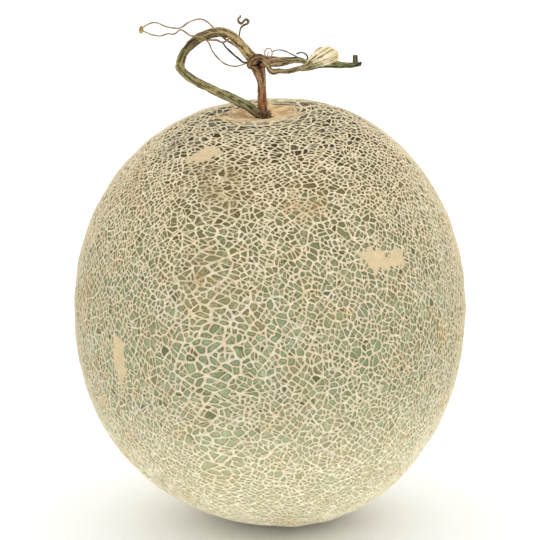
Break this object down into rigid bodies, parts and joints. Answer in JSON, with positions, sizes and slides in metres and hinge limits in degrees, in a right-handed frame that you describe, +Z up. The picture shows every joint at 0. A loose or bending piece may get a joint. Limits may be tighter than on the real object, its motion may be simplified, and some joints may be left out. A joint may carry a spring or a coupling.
{
  "type": "cantaloupe melon",
  "caption": "Whole netted cantaloupe melon standing on its blossom end, with a looped stalk, a short piece of vine and dry tendrils.",
  "frame": {"origin": "on the small flat spot under the melon, below the middle of its widest ring", "axes": "+Z up through the melon to the crown; +X towards the vine's cut end; the front faces -Y"},
  "size_m": [0.1552, 0.1552, 0.2037],
  "materials": {
    "rind": "matt netted rind",
    "green_stalk": "ridged, half dry",
    "dry_stem": "dry and fibrous",
    "vine": "dry and ridged",
    "papery_leaf": "papery and striated",
    "tendril": "thin and dry"
  },
  "bodies": {
    "root": {"melon": "rind", "fruit_stalk": "green_stalk", "dry_shoot": "dry_stem", "vine_knot": "dry_stem", "vine_upper_strand": "vine", "vine_lower_strand": "vine", "dried_leaf_base": "papery_leaf", "vine_end": "vine", "vine_peg": "vine", "tendril_bud": "tendril", "tendril_upper": "tendril", "tendril_lower": "tendril", "tendril_inner": "tendril", "tendril_thin": "tendril", "tendril_dark": "tendril", "tendril_curl": "tendril", "tendril_ring": "tendril", "tendril_arc": "tendril", "tendril_hook": "tendril"}
  },
  "joints": []
}
